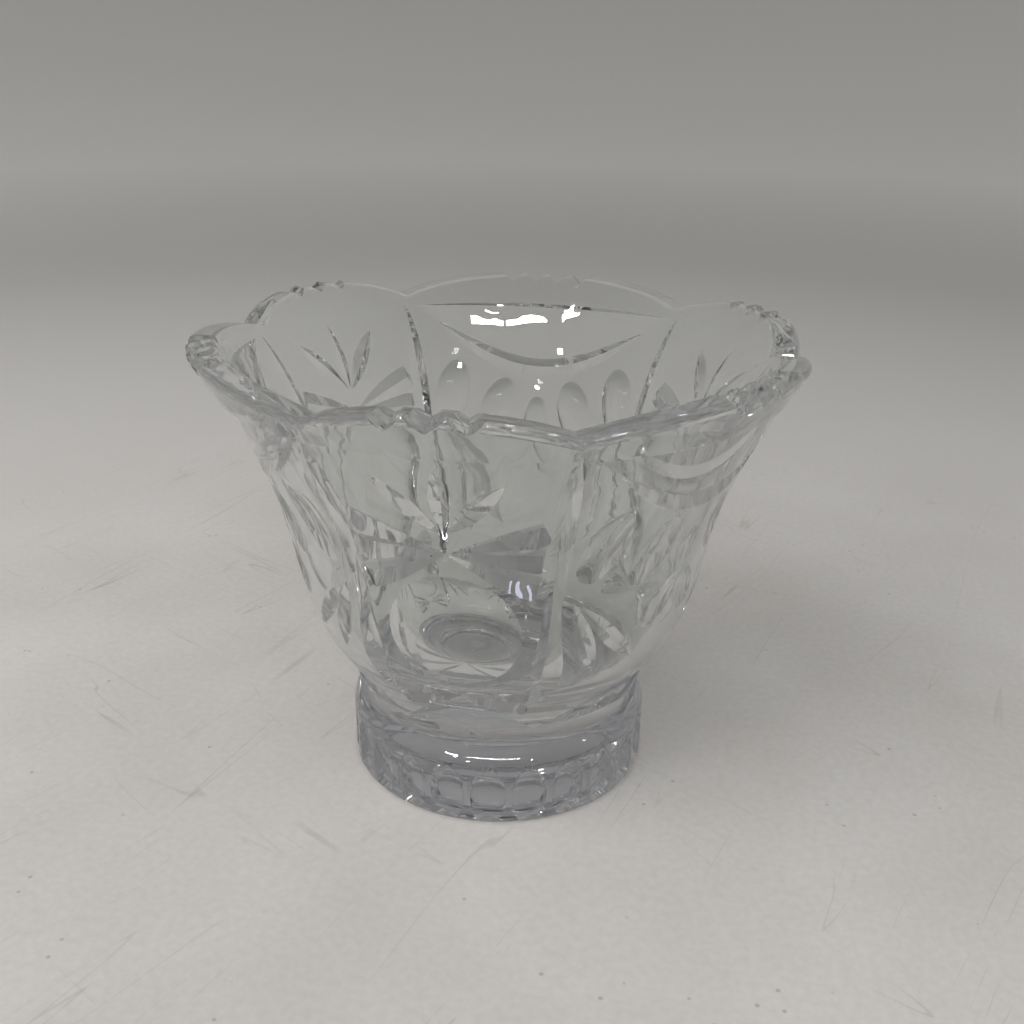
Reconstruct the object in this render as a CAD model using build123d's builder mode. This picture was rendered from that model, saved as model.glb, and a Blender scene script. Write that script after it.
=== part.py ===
from build123d import *
from math import cos, radians, sin, tan
import os

os.makedirs("parts", exist_ok=True)

# A small footed bowl of pressed lead crystal. Millimetres, +Z up, origin in the middle of
# the resting plane. Azimuths are degrees from -Y towards +X. Six scalloped lobes, three
# narrow and three wide in turn, stand over six panels that grooved columns separate.

# Heights
NECK_Z = 14.3
FLOOR_Z = 23.4
LIP_Z = 72.3
VALLEY_Z = 75.8
TOP_Z = 82.0

# Bowl outline from the neck to above the rim, as (radius, height)
OUTSIDE = [
    (25.2, NECK_Z), (26.6, 19.1), (31.4, 27.6), (34.6, 36.0),
    (36.5, 45.0), (39.3, 55.5), (44.2, 66.5), (52.9, TOP_Z),
]
INSIDE = [
    (18.0, FLOOR_Z), (25.2, 26.6), (28.6, 33.5), (30.6, 43.5),
    (33.4, 55.0), (38.4, 66.5), (44.1, VALLEY_Z), (47.9, TOP_Z),
]

# Panels and the lobes over them
REPEATS = 3
NARROW_HALF = 23.5
WIDE_HALF = 60.0 - NARROW_HALF
NARROW_RISE = 3.7
WIDE_RISE = 3.3
NARROW_CENTRES = [120.0 * k for k in range(REPEATS)]
WIDE_CENTRES = [60.0 + 120.0 * k for k in range(REPEATS)]
VALLEYS = [centre + side * NARROW_HALF for centre in NARROW_CENTRES for side in (-1, 1)]

# Rim
LOBE_BASE = VALLEY_Z - 3.0
LOBE_REACH = (30.0, 60.0)
RIM_OUTER_ROUND = 1.0
RIM_INNER_ROUND = 0.8

# Notches over the lobes
NARROW_NOTCHES = (-6.2, 0.0, 6.2)
WIDE_NOTCHES = (-8.4, -2.8, 2.8, 8.4)
NOTCH_DEPTH = 2.2
NOTCH_SLOPE = 16.0
NOTCH_HALF_ANGLE = 50.0
NOTCH_INSET = 2.6
NOTCH_TOOL = 8.0

# Columns: the depth of the groove at heights up the wall
COLUMN_WIDTH = 3.8
COLUMN_DEPTH = 1.1
COLUMN_KEEL = [
    (25.5, -0.4), (29.0, COLUMN_DEPTH), (40.0, COLUMN_DEPTH), (54.0, COLUMN_DEPTH),
    (66.0, COLUMN_DEPTH), (70.5, 0.6), (73.5, -0.4),
]

# Leaves and olives, as (azimuth from the panel centre, height, turn, length, width, depth)
NARROW_LEAVES = [
    (-6.6, 64.2, -40.0, 13.6, 3.2, 1.15),
    (0.0, 65.4, 0.0, 12.8, 2.8, 1.0),
    (6.6, 64.2, 40.0, 13.6, 3.2, 1.15),
]
THUMBPRINT = (0.0, 40.2, 0.0, 21.5, 20.6, 2.9)
MIDDLE_OLIVE = (0.0, 51.0, 0.0, 9.5, 5.2, 0.9)
SIDE_OLIVES = [
    (26.5, 56.0, -24.0, 14.0, 7.4, 1.1),
    (12.5, 53.0, -30.0, 12.6, 7.4, 1.1),
    (5.4, 42.2, -35.0, 9.6, 6.2, 1.0),
]
SIDE_KEELS = [
    (27.0, 38.2, 20.0, 16.0, 3.2, 1.1),
    (20.0, 38.6, 42.0, 18.0, 3.0, 1.1),
]

# Stars of wedges on the narrow panels, as (height of the middle, heights of the ends, width, depth)
UPPER_STAR = (55.8, (60.0, 54.7, 49.2), 4.4, 1.2)
LOWER_STAR = (27.8, (31.9, 27.8, 23.9), 3.4, 1.1)
STAR_HALF = 20.3

# Facets, as (half width, low height, high height, depth there, depth there)
NARROW_ARCH = (22.5, 18.6, 26.1, 1.6, 0.0)
WIDE_ARCH = (35.5, 18.6, 26.1, 1.6, 0.0)
HALF_MOON = (34.0, 60.5, LIP_Z, 0.0, 2.0)

# Garland under the half moon, as (half width, middle height, end height, width, depth)
GARLAND = (31.0, 60.9, 70.8, 3.8, 1.2)
GARLAND_STEPS = 8

# Cutters stand this far out of the wall
CLEARANCE = 3.0
FACET_CLEARANCE = 12.0
OLIVE_EDGE_SHARE = 0.8
CURVATURE_STEP = 1.5
HALVINGS = 40

# Foot
FOOT_RADIUS = 26.9
FOOT_EDGE = 0.7
FOOT_SHOULDER = 3.4
FOOT_TOP = 13.3
FOOT_NECK_RADIUS = 24.6
RECESS_RADIUS = 19.5
RECESS_DEPTH = 6.0
FLUTES = 24
FLUTE_PITCH = 360.0 / FLUTES
FLUTE_WIDTH = 6.4
FLUTE_LENGTH = 11.6
FLUTE_DEPTH = 1.3
FLUTE_Z = 5.2


with BuildLine(Plane.XZ) as outside_line:
    Spline(*OUTSIDE)
outline = outside_line.edges()[0]


def station(height):
    """The place along the outline at a height."""
    low, high = 0.0, 1.0
    for _ in range(HALVINGS):
        middle = (low + high) / 2
        if (outline @ middle).Z < height:
            low = middle
        else:
            high = middle
    return (low + high) / 2


def out_from_axis(azimuth):
    return Vector(sin(radians(azimuth)), -cos(radians(azimuth)), 0)


def along_rim(azimuth):
    return Vector(cos(radians(azimuth)), sin(radians(azimuth)), 0)


def skin(azimuth, height, turn=0.0):
    """A plane on the outer surface: z outwards, y up the wall, turned clockwise by turn."""
    place = outline @ station(height)
    tangent = outline % station(height)
    up = out_from_axis(azimuth) * tangent.X + Vector(0, 0, tangent.Z)
    across = along_rim(azimuth)
    side = across * cos(radians(turn)) - up * sin(radians(turn))
    origin = out_from_axis(azimuth) * place.X + Vector(0, 0, height)
    return Plane(origin=origin, x_dir=side, z_dir=across.cross(up))


def curvature(height, turn):
    """How strongly the outer surface bulges along a line leaning by turn."""
    below, above = station(height - CURVATURE_STEP), station(height + CURVATURE_STEP)
    low, high = outline % below, outline % above
    rise = (outline @ above) - (outline @ below)
    bend = radians(low.get_angle(high)) / rise.length
    along = -bend if high.X > low.X else bend
    around = (outline % station(height)).Z / (outline @ station(height)).X
    return along * cos(radians(turn)) ** 2 + around * sin(radians(turn)) ** 2


def mitre_cut(azimuth, height, turn, length, width, depth):
    """A leaf with two flanks and a sharp keel, as a sharp wheel grinds it."""
    reach = 1 / (8 * depth / length**2 - curvature(height, turn))
    thick = reach * width / (2 * depth)
    hub = reach - depth
    with BuildPart() as wheel:
        with BuildSketch(Plane.XZ):
            with BuildLine():
                Polyline((-thick, hub), (0, -depth), (thick, hub), close=True)
            make_face()
        revolve(axis=Axis((0, 0, hub), (1, 0, 0)))
    return skin(azimuth, height, turn).location * wheel.part


def olive_cut(azimuth, height, turn, length, width, depth):
    """A smooth pointed oval, as a round-edged wheel grinds it."""
    reach = 1 / (8 * depth / length**2 - curvature(height, turn))
    edge = 1 / (8 * depth / width**2 - curvature(height, turn + 90))
    hub = reach - depth
    half = edge * OLIVE_EDGE_SHARE
    corner = edge - (edge**2 - half**2) ** 0.5 - depth
    with BuildPart() as wheel:
        with BuildSketch(Plane.XZ):
            with BuildLine():
                ThreePointArc((-half, corner), (0, -depth), (half, corner))
                Polyline((half, corner), (half, hub), (-half, hub), (-half, corner))
            make_face()
        revolve(axis=Axis((0, 0, hub), (1, 0, 0)))
    return skin(azimuth, height, turn).location * wheel.part


def ray_cut(azimuth, height, end_azimuth, end_height, width, depth):
    """A four-sided wedge that starts as a point and widens to the end."""
    start, end = skin(azimuth, height), skin(end_azimuth, end_height)
    out = end.z_dir
    run = end.origin - start.origin
    across = out.cross(run).normalized() * (width / 2 * (1 + CLEARANCE / depth))
    tip = start.origin
    keel = end.origin - out * depth
    left = end.origin + out * CLEARANCE - across
    right = end.origin + out * CLEARANCE + across
    corners = [(tip, keel, left), (tip, right, keel), (tip, left, right), (keel, right, left)]
    sides = [Face(Wire.make_polygon(corner, close=True)) for corner in corners]
    return Solid(Shell(sides))


def star_cuts(centre, middle, ends, width, depth):
    """Wedges that fan out to both sides of a panel."""
    cuts = []
    for side in (-1, 1):
        for end in ends:
            cuts.append(ray_cut(centre, middle, centre + side * STAR_HALF, end, width, depth))
    return cuts


def arch_cut(centre, half, low, high, low_depth, high_depth):
    """A facet that is flatter than the wall and fades out at half on both sides."""
    radius = (outline @ station((low + high) / 2)).X
    bite = max(low_depth, high_depth) / (1 - cos(radians(half)))
    shift = bite * radius / (radius - bite)
    low_radius = (outline @ station(low)).X + shift - low_depth
    high_radius = (outline @ station(high)).X + shift - high_depth
    with BuildPart() as ring:
        with BuildSketch(Plane.XZ):
            with BuildLine():
                Polyline(
                    (low_radius, low), (high_radius, high),
                    (high_radius + FACET_CLEARANCE, high), (low_radius + FACET_CLEARANCE, low),
                    close=True,
                )
            make_face()
        revolve(axis=Axis.Z, revolution_arc=2 * half)
    return Pos(out_from_axis(centre) * -shift) * Rot(0, 0, centre - 90 - half) * ring.part


def garland_cut(centre, half, middle, end, width, depth):
    """A V groove that hangs over the wall and comes to a point at both ends."""
    rails = [[], [], []]
    for k in range(GARLAND_STEPS + 1):
        share = 2 * k / GARLAND_STEPS - 1
        wall = skin(centre + half * share, middle + (end - middle) * share**2)
        fade = 1 - share**4
        keel = wall.origin + wall.z_dir * (depth / 2 - depth * 1.5 * fade)
        edge = wall.origin + wall.z_dir * (depth / 2 + depth / 2 * fade)
        rails[0].append(keel)
        rails[1].append(edge + wall.y_dir * width * fade)
        rails[2].append(edge - wall.y_dir * width * fade)
    edges = [Wire(Spline(*rail)) for rail in rails]
    pairs = [(edges[0], edges[1]), (edges[0], edges[2]), (edges[1], edges[2])]
    flanks = [Shell.make_loft(pair, ruled=True).face() for pair in pairs]
    return Solid(Shell(flanks))


def lobe_space(centre, half, rise):
    """The space under one scallop of the rim, wider further out."""
    with BuildPart() as space:
        for distance in LOBE_REACH:
            reach = distance * tan(radians(half))
            with BuildSketch(Plane.XZ.offset(distance)):
                with BuildLine():
                    ThreePointArc((-reach, VALLEY_Z), (0, VALLEY_Z + rise), (reach, VALLEY_Z))
                    Polyline(
                        (reach, VALLEY_Z), (reach, LOBE_BASE), (-reach, LOBE_BASE), (-reach, VALLEY_Z)
                    )
                make_face()
        loft(ruled=True)
    return Rot(0, 0, centre) * space.part


def scallop(blank, centre, half, rise):
    """One lobe of the rim, rounded along both edges."""
    with BuildPart() as piece:
        add(blank)
        add(lobe_space(centre, half, rise), mode=Mode.INTERSECT)
        inner_edge = piece.faces().sort_by(Axis.Z)[-1].edges().sort_by(SortBy.LENGTH)[-2]
        fillet(inner_edge, RIM_INNER_ROUND)
        outer_edge = piece.faces().sort_by(Axis.Z)[-1].edges().sort_by(SortBy.LENGTH)[-1]
        fillet(outer_edge, RIM_OUTER_ROUND)
    return piece.part


def notch(azimuth, crest):
    """A V over the rim that runs down its outer edge."""
    radial = out_from_axis(azimuth)
    radius = (outline @ station(crest)).X - NOTCH_INSET
    place = radial * radius + Vector(0, 0, crest - NOTCH_DEPTH)
    outward = radial * cos(radians(NOTCH_SLOPE)) - Vector(0, 0, sin(radians(NOTCH_SLOPE)))
    wide = NOTCH_TOOL * tan(radians(NOTCH_HALF_ANGLE))
    with BuildPart() as groove:
        with BuildSketch(Plane(origin=place, x_dir=along_rim(azimuth), z_dir=outward)):
            with BuildLine():
                Polyline((0, 0), (-wide, NOTCH_TOOL), (wide, NOTCH_TOOL), close=True)
            make_face()
        extrude(amount=NOTCH_TOOL, both=True)
    return groove.part


def column(azimuth):
    """A V groove up the wall, pointed at both ends."""
    keel = [((outline @ station(z)).X - depth, 0, z) for z, depth in COLUMN_KEEL]
    wide = CLEARANCE * COLUMN_WIDTH / 2 / COLUMN_DEPTH
    with BuildPart() as groove:
        with BuildLine():
            path = Spline(*keel)
        with BuildSketch(Plane(origin=path @ 0, x_dir=(0, -1, 0), z_dir=path % 0)):
            with BuildLine():
                Polyline((0, 0), (wide, CLEARANCE), (-wide, CLEARANCE), close=True)
            make_face()
        sweep()
    return Rot(0, 0, azimuth - 90) * groove.part


def narrow_panel(centre):
    """Three leaves over a star of wedges, a thumbprint, a lower star and an arch."""
    cuts = [mitre_cut(centre + turn, *rest) for turn, *rest in NARROW_LEAVES]
    cuts.append(olive_cut(centre + THUMBPRINT[0], *THUMBPRINT[1:]))
    cuts += star_cuts(centre, *UPPER_STAR)
    cuts += star_cuts(centre, *LOWER_STAR)
    cuts.append(arch_cut(centre, *NARROW_ARCH))
    return cuts


def wide_panel(centre):
    """A half moon over a garland, a spray of olives, two crossing keels a side and an arch."""
    cuts = [arch_cut(centre, *HALF_MOON), garland_cut(centre, *GARLAND)]
    cuts.append(olive_cut(centre + MIDDLE_OLIVE[0], *MIDDLE_OLIVE[1:]))
    for side in (-1, 1):
        for azimuth, height, turn, *size in SIDE_OLIVES:
            cuts.append(olive_cut(centre + side * azimuth, height, side * turn, *size))
        for azimuth, height, turn, *size in SIDE_KEELS:
            cuts.append(mitre_cut(centre + side * azimuth, height, side * turn, *size))
    cuts.append(arch_cut(centre, *WIDE_ARCH))
    return cuts


def flute(azimuth):
    """An upright oval in the side of the foot."""
    reach = FLUTE_LENGTH**2 / (8 * FLUTE_DEPTH)
    edge = 1 / (8 * FLUTE_DEPTH / FLUTE_WIDTH**2 - 1 / FOOT_RADIUS)
    hub = out_from_axis(azimuth) * (FOOT_RADIUS + reach - FLUTE_DEPTH) + Vector(0, 0, FLUTE_Z)
    with BuildPart() as wheel:
        Torus(reach - edge, edge)
    return Plane(origin=hub, x_dir=(0, 0, 1), z_dir=along_rim(azimuth)).location * wheel.part


with BuildPart() as blank:
    with BuildSketch(Plane.XZ):
        with BuildLine():
            Spline(*OUTSIDE)
            Line(OUTSIDE[-1], INSIDE[-1])
            Spline(*INSIDE[::-1], tangents=[(-0.5, -1), (-1, 0)])
            Polyline(INSIDE[0], (0, FLOOR_Z), (0, NECK_Z), OUTSIDE[0])
        make_face()
    revolve(axis=Axis.Z)

scallops = [scallop(blank.part, centre, NARROW_HALF, NARROW_RISE) for centre in NARROW_CENTRES]
scallops += [scallop(blank.part, centre, WIDE_HALF, WIDE_RISE) for centre in WIDE_CENTRES]
cuts = [column(azimuth) for azimuth in VALLEYS]
for centre in NARROW_CENTRES:
    cuts += narrow_panel(centre)
    cuts += [notch(centre + turn, VALLEY_Z + NARROW_RISE) for turn in NARROW_NOTCHES]
for centre in WIDE_CENTRES:
    cuts += wide_panel(centre)
    cuts += [notch(centre + turn, VALLEY_Z + WIDE_RISE) for turn in WIDE_NOTCHES]

with BuildPart() as bowl:
    add(blank.part)
    split(bisect_by=Plane.XY.offset(LOBE_BASE), keep=Keep.BOTTOM)
    add(scallops)
    for cut in cuts:
        add(cut, mode=Mode.SUBTRACT)
bowl.part.label = "bowl"
export_step(bowl.part, "parts/bowl.step")

# Foot: a thick ring with a recess under it, a round shoulder, and fluted sides
with BuildPart() as foot:
    with BuildSketch(Plane.XZ):
        with BuildLine():
            Line((RECESS_RADIUS, 0), (FOOT_RADIUS - FOOT_EDGE, 0))
            CenterArc((FOOT_RADIUS - FOOT_EDGE, FOOT_EDGE), FOOT_EDGE, -90, 90)
            Line((FOOT_RADIUS, FOOT_EDGE), (FOOT_RADIUS, FOOT_TOP - FOOT_SHOULDER))
            CenterArc((FOOT_RADIUS - FOOT_SHOULDER, FOOT_TOP - FOOT_SHOULDER), FOOT_SHOULDER, 0, 90)
            Line((FOOT_RADIUS - FOOT_SHOULDER, FOOT_TOP), (FOOT_NECK_RADIUS, NECK_Z))
            Polyline((FOOT_NECK_RADIUS, NECK_Z), (0, NECK_Z), (0, RECESS_DEPTH))
            Spline((0, RECESS_DEPTH), (RECESS_RADIUS, 0), tangents=[(1, 0), (0, -1)])
        make_face()
    revolve(axis=Axis.Z)
    for k in range(FLUTES):
        add(flute((k + 0.5) * FLUTE_PITCH), mode=Mode.SUBTRACT)
foot.part.label = "foot"
export_step(foot.part, "parts/foot.step")
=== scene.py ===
from math import cos, pi, radians, sin

import bmesh
import bpy
from mathutils import Matrix, Vector


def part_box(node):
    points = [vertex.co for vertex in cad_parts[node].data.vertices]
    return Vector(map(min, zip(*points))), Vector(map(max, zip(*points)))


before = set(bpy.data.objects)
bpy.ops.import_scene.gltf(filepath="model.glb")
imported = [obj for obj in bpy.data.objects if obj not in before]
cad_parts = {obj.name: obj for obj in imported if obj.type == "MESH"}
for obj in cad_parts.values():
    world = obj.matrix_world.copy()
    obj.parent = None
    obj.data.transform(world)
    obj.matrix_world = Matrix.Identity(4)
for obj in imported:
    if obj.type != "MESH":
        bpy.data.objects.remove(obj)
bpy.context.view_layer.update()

scene = bpy.context.scene

# Metres. Azimuths of the lamps are degrees from the front view towards the right.

# Camera: where it stands round the bowl, and what it looks at
CAMERA_AZIMUTH = 10.5
CAMERA_ELEVATION = 22.8
CAMERA_ROLL = radians(0.82)
CAMERA_DISTANCE = 0.1955
LOOK_HEIGHT = 0.0461
LOOK_RIGHT = 0.0020
LENS = 39.0
SENSOR_WIDTH = 36
CLIP_START = 0.01

# Glass: tint in the eye, and shade that one wall throws
IOR = 1.54
CLEAR_TINT = (0.865, 0.882, 0.875, 1)
CLEAR_SHADE = (0.665, 0.665, 0.655, 1)
FOOT_TINT = (0.62, 0.63, 0.675, 1)
FOOT_SHADE = (0.77, 0.77, 0.78, 1)
# Painted light: the recess under the foot is a lighter copy of the foot glass, so the board seen through it
# reads brighter
RECESS_TINT_PAINTED_LIGHT = (0.80, 0.81, 0.825, 1)
RECESS_SHADE = (0.79, 0.79, 0.80, 1)
WAVE_SCALE = 230.0
WAVE_DETAIL = 1.0
WAVE_STRENGTH = 0.04
WAVE_DEPTH = 0.0003

# Places on the bowl and the foot
NECK_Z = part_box("bowl")[0].z
SAME_PLANE = 1e-5
RECESS_RADIUS = 0.0196
RECESS_TOP = 0.0061

# Board: colours, and shades that multiply them
BOARD_DARK = (0.600, 0.587, 0.575, 1)
BOARD_LIGHT = (0.650, 0.640, 0.630, 1)
FAR_BOARD = (0.61, 0.602, 0.592, 1)
WALL = (0.85, 0.845, 0.83, 1)
# Painted light: the board under the foot is lighter, for light that the glass would focus there
PAINTED_LIGHT_UNDER_FOOT = (0.75, 0.74, 0.735, 1)
GRAIN_SHADE = (0.925, 0.922, 0.92, 1)
SCRATCH_SHADE = (0.86, 0.845, 0.835, 1)
SPECK_SHADE = (0.72, 0.69, 0.67, 1)
# Painted shadow: the board is darkened in a thin ring where the foot stands on it
PAINTED_CONTACT_SHADOW = (0.72, 0.71, 0.70, 1)
BOARD_ROUGHNESS = 0.5

# Board: scale and detail of the noises, and the limits between which each shade comes in
MOTTLE_SCALE = 22.0
MOTTLE_DETAIL = 6.0
MOTTLE_LIMITS = (0.35, 0.65)
GRAIN_SCALE = 700.0
GRAIN_DETAIL = 3.0
GRAIN_LIMITS = (0.3, 0.7)
SPECK_SCALE = 240.0
SPECK_LIMITS = (0.11, 0.06)
SPECK_PATCH_SCALE = 45.0
SPECK_PATCH_LIMITS = (0.55, 0.59)
PATCH_DETAIL = 2.0

# Board: radii and heights between which a colour comes in, from none to full
FAR_RADII = (0.10, 0.26)
WALL_HEIGHTS = (0.0, 0.04)
# Painted shadow: radii of the darker ring round the foot
PAINTED_SHADOW_RADII = (0.0275, 0.0258)
# Painted light: radii of the lighter disc under the foot
PAINTED_LIGHT_RADII = (0.0262, 0.0245)

# Scratches: noise scale, direction in degrees, length over width
SCRATCHES = [(60.0, 75, 22.0), (90.0, 66, 16.0), (70.0, 150, 10.0)]
SCRATCH_DETAIL = 2.0
SCRATCH_LIMITS = (0.0035, 0.001)
SCRATCH_PATCH_LIMITS = (0.5, 0.6)
SCRATCH_PATCH_STRETCH = 2.0
SCRATCH_PATCH_TURN = 40
NOISE_MIDDLE = 0.5

# Floor: flat out to a radius, then a quarter circle up into the wall
FLOOR_GAP = 0.00005
FLAT_RADII = (0.02, 0.1, 0.25, 0.5)
SWEEP_RADIUS = 0.5
SWEEP_STEPS = 12
FLOOR_SIDES = 64
FLAT_HEIGHT = 0.001
OPEN_SIDE = -0.3

# Room: colour all round and on the photographer's side, and where one turns into the other
ROOM_BRIGHT = (0.29, 0.29, 0.288, 1)
ROOM_DIM = (0.045, 0.045, 0.047, 1)
ROOM_TURN = (0.0, 0.5)

WHITE = (1.0, 1.0, 1.0)

# Two rows of ceiling tubes: azimuth, elevation, length, thickness
TUBE_DISTANCE = 1.2
TUBE_BRIGHTNESS = 600.0
TUBES = [
    ("low_right", 11, 53.2, 0.27, 0.026),
    ("low_middle", -15, 53.4, 0.33, 0.024),
    ("low_left", -45, 52.4, 0.17, 0.034),
    ("high_right", 8, 55.6, 0.10, 0.010),
    ("high_middle", -19, 55.6, 0.20, 0.010),
    ("high_left", -42, 54.8, 0.08, 0.010),
]

# Small bright bulbs that put points of light in the cuts: azimuth, elevation, colour
BULB_DISTANCE = 1.1
BULB_SIZE = (0.036, 0.036)
BULB_POWER = 0.5
BULBS = [
    ("bulb_a", 28, 38, WHITE),
    ("bulb_b", -36, 42.5, (1.0, 0.84, 0.62)),
    ("bulb_c", 95, 52, WHITE),
    ("bulb_d", 150, 60, WHITE),
    ("bulb_e", -140, 55, (0.92, 0.96, 1.0)),
    ("bulb_f", 10, 76, WHITE),
    ("bulb_g", -22, 30, (1.0, 0.97, 0.92)),
]

# A row of slim bluish lamps that one facet of the star mirrors: first and last azimuth, elevation
SLIM_DISTANCE = 1.13
SLIM_SIZE = (0.0034, 0.016)
SLIM_POWER = 0.0019
SLIM_COLOUR = (0.74, 0.76, 1.0)
SLIM_NAMES = ("slim_a", "slim_b", "slim_c")
SLIM_AZIMUTHS = (34.7, 35.7)
SLIM_ELEVATIONS = (1.3, 0.8)

# Two soft windows that light the board: azimuth, elevation, power, colour
WINDOW_DISTANCE = 0.62
WINDOW_SIZE = (0.5, 0.4)
WINDOWS = [
    ("window_left", -62, 48, 2.33, (1.0, 0.975, 0.945)),
    ("window_front", 10, 52, 1.35, (1.0, 0.99, 0.97)),
]


def direction(azimuth, elevation):
    """Unit vector from the bowl, in degrees from -Y towards +X and above the floor."""
    a, e = radians(azimuth), radians(elevation)
    return Vector((sin(a) * cos(e), -cos(a) * cos(e), sin(e)))


FRONT = direction(CAMERA_AZIMUTH, 0)


def make_camera():
    right = direction(CAMERA_AZIMUTH + 90, 0)
    back = direction(CAMERA_AZIMUTH, CAMERA_ELEVATION)
    up = back.cross(right)
    across = right * cos(CAMERA_ROLL) + up * sin(CAMERA_ROLL)
    upward = up * cos(CAMERA_ROLL) - right * sin(CAMERA_ROLL)
    place = right * LOOK_RIGHT + Vector((0, 0, LOOK_HEIGHT)) + back * CAMERA_DISTANCE
    data = bpy.data.cameras.new("camera")
    data.lens = LENS
    data.sensor_width = SENSOR_WIDTH
    data.clip_start = CLIP_START
    camera = bpy.data.objects.new("camera", data)
    turn = Matrix((across, upward, back)).transposed().to_4x4()
    camera.matrix_world = Matrix.Translation(place) @ turn
    scene.collection.objects.link(camera)
    scene.camera = camera


def node_tree(name):
    material = bpy.data.materials.new(name)
    material.use_nodes = True
    tree = material.node_tree
    tree.nodes.clear()
    return material, tree


def add_node(tree, kind, **values):
    node = tree.nodes.new(kind)
    for key, value in values.items():
        node.inputs[key.replace("_", " ")].default_value = value
    return node


def plug(tree, socket, value):
    """Join a socket to another one, or set it to a number or a colour."""
    if isinstance(value, bpy.types.NodeSocket):
        tree.links.new(value, socket)
    else:
        socket.default_value = value


def calculate(tree, operation, *values):
    node = add_node(tree, "ShaderNodeMath")
    node.operation = operation
    for socket, value in zip(node.inputs, values):
        plug(tree, socket, value)
    return node.outputs["Value"]


def show(tree, shader):
    output = add_node(tree, "ShaderNodeOutputMaterial")
    tree.links.new(shader, output.inputs["Surface"])


def crystal(name, tint, shade):
    """Polished crystal with faint waves from the mould, and lamps shine through it."""
    material, tree = node_tree(name)
    link = tree.links.new
    coordinates = add_node(tree, "ShaderNodeTexCoord")
    waves = add_node(tree, "ShaderNodeTexNoise", Scale=WAVE_SCALE, Detail=WAVE_DETAIL)
    link(coordinates.outputs["Object"], waves.inputs["Vector"])
    bump = add_node(tree, "ShaderNodeBump", Strength=WAVE_STRENGTH, Distance=WAVE_DEPTH)
    link(waves.outputs["Fac"], bump.inputs["Height"])
    glass = add_node(tree, "ShaderNodeBsdfPrincipled", Base_Color=tint, Roughness=0.0, IOR=IOR)
    glass.inputs["Transmission Weight"].default_value = 1.0
    link(bump.outputs["Normal"], glass.inputs["Normal"])
    clear = add_node(tree, "ShaderNodeBsdfTransparent", Color=shade)
    path = add_node(tree, "ShaderNodeLightPath")
    through = calculate(tree, "MAXIMUM", path.outputs["Is Shadow Ray"], path.outputs["Is Diffuse Ray"])
    mix = add_node(tree, "ShaderNodeMixShader")
    link(through, mix.inputs["Fac"])
    link(glass.outputs["BSDF"], mix.inputs[1])
    link(clear.outputs["BSDF"], mix.inputs[2])
    show(tree, mix.outputs["Shader"])
    return material


def joint_face():
    """The bowl and the foot are one melt, so the plane where they meet shows nothing."""
    material, tree = node_tree("melted_together")
    clear = add_node(tree, "ShaderNodeBsdfTransparent")
    show(tree, clear.outputs["BSDF"])
    return material


def dress(node, material, seam, recess=None):
    """Material 0 outside, 1 where the bowl and the foot meet, 2 in the recess under the foot, which is a
    lighter copy of the foot glass: painted light, so the board seen through it reads brighter.
    """
    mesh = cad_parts[node].data
    mesh.materials.clear()
    for one in (material, seam, recess or material):
        mesh.materials.append(one)
    for face in mesh.polygons:
        corners = [mesh.vertices[i].co for i in face.vertices]
        if all(abs(corner.z - NECK_Z) < SAME_PLANE for corner in corners):
            face.material_index = 1
        elif recess and all(
            corner.xy.length < RECESS_RADIUS and corner.z < RECESS_TOP for corner in corners
        ):
            face.material_index = 2


def blend(tree, kind, share, first, second):
    """Mix two colours: each is a socket or a colour, and share is a socket."""
    mix = add_node(tree, "ShaderNodeMixRGB")
    mix.blend_type = kind
    for socket, value in zip(("Fac", "Color1", "Color2"), (share, first, second)):
        plug(tree, mix.inputs[socket], value)
    return mix.outputs["Color"]


def band(tree, value, none, full):
    """0 at the first limit and 1 at the second, whichever of them is larger."""
    ramp = add_node(tree, "ShaderNodeMapRange", From_Min=none, From_Max=full)
    tree.links.new(value, ramp.inputs["Value"])
    return ramp.outputs["Result"]


def noise_on(tree, source, scale, detail, stretch=1.0, turn=0.0):
    """Noise drawn out by stretch along the direction turn."""
    turned, drawn = (0, 0, radians(turn)), (stretch, 1, 1)
    place = add_node(tree, "ShaderNodeMapping", Rotation=turned, Scale=drawn)
    place.vector_type = "TEXTURE"
    tree.links.new(source, place.inputs["Vector"])
    cloud = add_node(tree, "ShaderNodeTexNoise", Scale=scale, Detail=detail)
    tree.links.new(place.outputs["Vector"], cloud.inputs["Vector"])
    return cloud.outputs["Fac"]


def scratches(tree, place, scale, turn, stretch):
    """Thin lines along one direction, broken up by a coarser noise."""
    hills = noise_on(tree, place, scale, SCRATCH_DETAIL, stretch, turn)
    from_middle = calculate(tree, "ABSOLUTE", calculate(tree, "SUBTRACT", hills, NOISE_MIDDLE))
    line = band(tree, from_middle, *SCRATCH_LIMITS)
    across = turn + SCRATCH_PATCH_TURN
    coarse = noise_on(tree, place, scale / 2, PATCH_DETAIL, SCRATCH_PATCH_STRETCH, across)
    return calculate(tree, "MULTIPLY", line, band(tree, coarse, *SCRATCH_PATCH_LIMITS))


def specks(tree, place):
    """Small round dots in some patches of the board."""
    cells = add_node(tree, "ShaderNodeTexVoronoi", Scale=SPECK_SCALE)
    tree.links.new(place, cells.inputs["Vector"])
    dots = band(tree, cells.outputs["Distance"], *SPECK_LIMITS)
    coarse = noise_on(tree, place, SPECK_PATCH_SCALE, PATCH_DETAIL)
    return calculate(tree, "MULTIPLY", dots, band(tree, coarse, *SPECK_PATCH_LIMITS))


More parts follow.
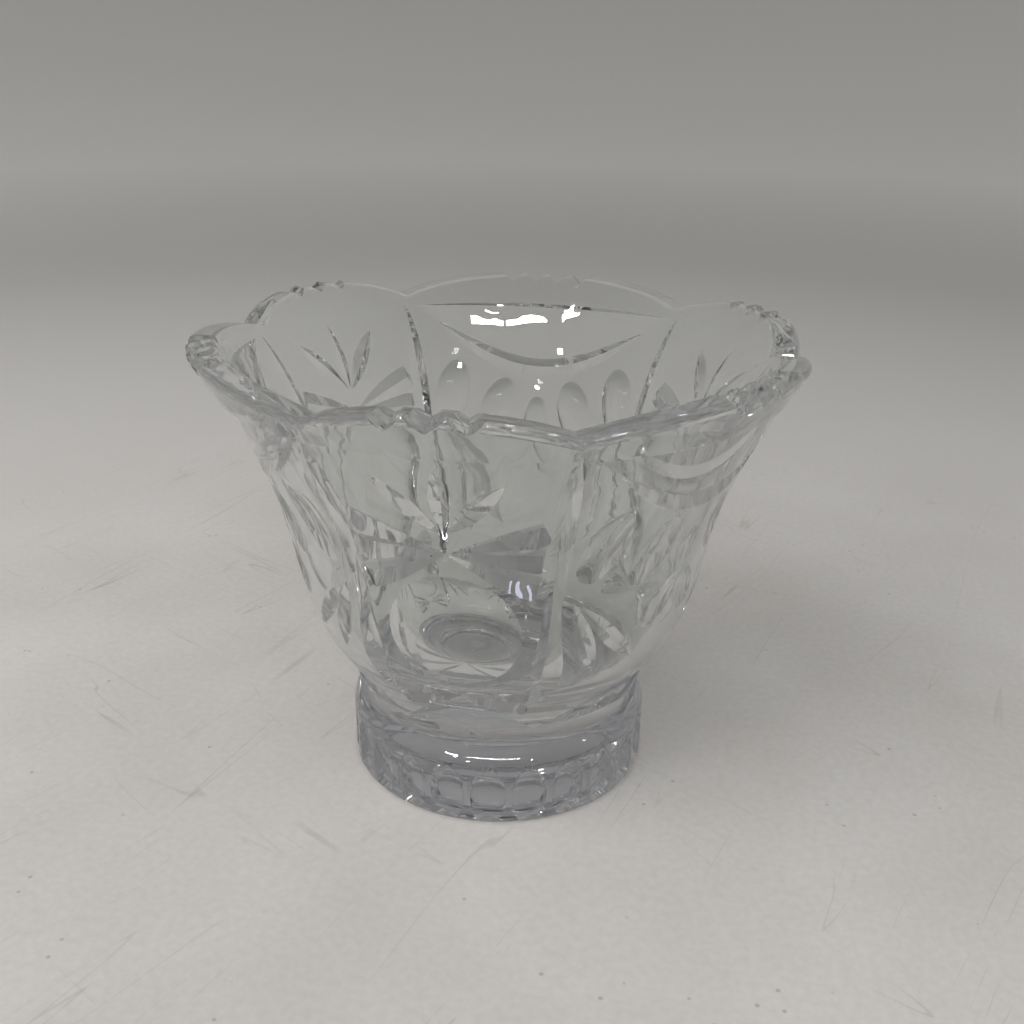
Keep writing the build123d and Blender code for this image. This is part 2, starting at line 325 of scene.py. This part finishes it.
def scuffed_board_painted_light_and_shade():
    """White board with a faint mottle, fine scratches in three directions and a few specks, a painted shadow
    ring round the foot and a painted pool of light under it.
    """
    material, tree = node_tree("scuffed_board_painted_light_and_shade")
    place = add_node(tree, "ShaderNodeTexCoord").outputs["Object"]
    mottle = band(tree, noise_on(tree, place, MOTTLE_SCALE, MOTTLE_DETAIL), *MOTTLE_LIMITS)
    colour = blend(tree, "MIX", mottle, BOARD_DARK, BOARD_LIGHT)
    grain = band(tree, noise_on(tree, place, GRAIN_SCALE, GRAIN_DETAIL), *GRAIN_LIMITS)
    colour = blend(tree, "MULTIPLY", grain, colour, GRAIN_SHADE)
    for scale, turn, stretch in SCRATCHES:
        lines = scratches(tree, place, scale, turn, stretch)
        colour = blend(tree, "MULTIPLY", lines, colour, SCRATCH_SHADE)
    colour = blend(tree, "MULTIPLY", specks(tree, place), colour, SPECK_SHADE)
    from_middle = add_node(tree, "ShaderNodeVectorMath")
    from_middle.operation = "LENGTH"
    tree.links.new(place, from_middle.inputs[0])
    radius = from_middle.outputs["Value"]
    colour = blend(tree, "MIX", band(tree, radius, *FAR_RADII), colour, FAR_BOARD)
    axes = add_node(tree, "ShaderNodeSeparateXYZ")
    tree.links.new(place, axes.inputs["Vector"])
    colour = blend(tree, "MIX", band(tree, axes.outputs["Z"], *WALL_HEIGHTS), colour, WALL)
    # Painted shadow: a darker ring on the board where the foot stands
    colour = blend(tree, "MULTIPLY", band(tree, radius, *PAINTED_SHADOW_RADII), colour, PAINTED_CONTACT_SHADOW)
    # Painted light: a lighter disc under the foot, for light that the glass would focus there
    colour = blend(tree, "MIX", band(tree, radius, *PAINTED_LIGHT_RADII), colour, PAINTED_LIGHT_UNDER_FOOT)
    board = add_node(tree, "ShaderNodeBsdfDiffuse", Roughness=BOARD_ROUGHNESS)
    tree.links.new(colour, board.inputs["Color"])
    show(tree, board.outputs["BSDF"])
    return material


def make_floor():
    """A pale floor that sweeps up into a wall, except on the side where the camera stands."""
    profile = [(radius, 0.0) for radius in FLAT_RADII]
    angles = [pi / 2 * k / SWEEP_STEPS for k in range(1, SWEEP_STEPS + 1)]
    profile += [
        (FLAT_RADII[-1] + SWEEP_RADIUS * sin(a), SWEEP_RADIUS - SWEEP_RADIUS * cos(a)) for a in angles
    ]
    mesh = bpy.data.meshes.new("floor")
    builder = bmesh.new()
    around = [2 * pi * k / FLOOR_SIDES for k in range(FLOOR_SIDES)]
    rings = [[builder.verts.new((r * cos(a), r * sin(a), z)) for a in around] for r, z in profile]
    builder.faces.new(rings[0])
    for inner, outer in zip(rings, rings[1:]):
        for k in range(FLOOR_SIDES):
            n = (k + 1) % FLOOR_SIDES
            corners = (inner[k], outer[k], outer[n], inner[n])
            middle = sum((corner.co for corner in corners), Vector()) / 4
            if middle.z < FLAT_HEIGHT or middle.dot(-FRONT) > OPEN_SIDE * middle.length:
                builder.faces.new(corners)
    bmesh.ops.recalc_face_normals(builder, faces=builder.faces)
    builder.to_mesh(mesh)
    mesh.polygons.foreach_set("use_smooth", [True] * len(mesh.polygons))
    floor = bpy.data.objects.new("floor", mesh)
    floor.location.z = -FLOOR_GAP
    scene.collection.objects.link(floor)
    mesh.materials.append(scuffed_board_painted_light_and_shade())


def area_light(name, azimuth, elevation, distance, size, power, colour=WHITE):
    """A rectangle of light that faces the bowl."""
    data = bpy.data.lights.new(name, "AREA")
    data.shape = "RECTANGLE"
    data.size, data.size_y = size
    data.energy = power
    data.color = colour
    lamp = bpy.data.objects.new(name, data)
    spot = direction(CAMERA_AZIMUTH + azimuth, elevation) * distance
    lamp.location = spot
    lamp.rotation_euler = spot.to_track_quat("Z", "Y").to_euler()
    scene.collection.objects.link(lamp)
    return lamp


def room_world():
    """An even grey room, but what the glass mirrors of it is dimmer at the front."""
    world = bpy.data.worlds.new("room")
    world.use_nodes = True
    tree = world.node_tree
    facing = add_node(tree, "ShaderNodeVectorMath")
    facing.operation = "DOT_PRODUCT"
    tree.links.new(add_node(tree, "ShaderNodeTexCoord").outputs["Generated"], facing.inputs[0])
    facing.inputs[1].default_value = FRONT
    share = band(tree, facing.outputs["Value"], *ROOM_TURN)
    colour = blend(tree, "MIX", share, ROOM_BRIGHT, ROOM_DIM)
    seen = add_node(tree, "ShaderNodeLightPath").outputs["Is Camera Ray"]
    colour = blend(tree, "MIX", seen, colour, ROOM_BRIGHT)
    tree.links.new(colour, tree.nodes["Background"].inputs["Color"])
    scene.world = world


def slim_row():
    """The slim lamps, evenly spaced from the first direction to the last."""
    lamps = []
    for k, name in enumerate(SLIM_NAMES):
        share = k / (len(SLIM_NAMES) - 1)
        azimuth = SLIM_AZIMUTHS[0] + share * (SLIM_AZIMUTHS[1] - SLIM_AZIMUTHS[0])
        elevation = SLIM_ELEVATIONS[0] + share * (SLIM_ELEVATIONS[1] - SLIM_ELEVATIONS[0])
        lamps.append(area_light(name, azimuth, elevation, SLIM_DISTANCE, SLIM_SIZE, SLIM_POWER, SLIM_COLOUR))
    return lamps


def make_light():
    """Lamps that show only in the glass, and windows that show only on the board."""
    room_world()
    in_glass = [
        area_light(name, azimuth, elevation, TUBE_DISTANCE, (long, thick), TUBE_BRIGHTNESS * long * thick)
        for name, azimuth, elevation, long, thick in TUBES
    ]
    in_glass += [
        area_light(name, azimuth, elevation, BULB_DISTANCE, BULB_SIZE, BULB_POWER, colour)
        for name, azimuth, elevation, colour in BULBS
    ]
    in_glass += slim_row()
    for lamp in in_glass:
        lamp.visible_diffuse = False
    for name, azimuth, elevation, power, colour in WINDOWS:
        window = area_light(name, azimuth, elevation, WINDOW_DISTANCE, WINDOW_SIZE, power, colour)
        window.visible_glossy = False
        window.visible_transmission = False


make_camera()
crystal_clear = crystal("bowl_crystal", CLEAR_TINT, CLEAR_SHADE)
crystal_violet = crystal("foot_crystal", FOOT_TINT, FOOT_SHADE)
# Painted light: the recess glass is a lighter copy of the foot glass
crystal_recess = crystal("recess_crystal", RECESS_TINT_PAINTED_LIGHT, RECESS_SHADE)
seam = joint_face()
dress("bowl", crystal_clear, seam)
dress("foot", crystal_violet, seam, crystal_recess)
make_floor()
make_light()

# A cut bowl needs many bounces: too few leave black specks where the cuts cross
scene.view_settings.view_transform = "Standard"
scene.cycles.max_bounces = 40
scene.cycles.transmission_bounces = 32
scene.cycles.glossy_bounces = 32
scene.cycles.transparent_max_bounces = 24
scene.cycles.caustics_reflective = False
scene.cycles.caustics_refractive = False
scene.cycles.use_denoising = True
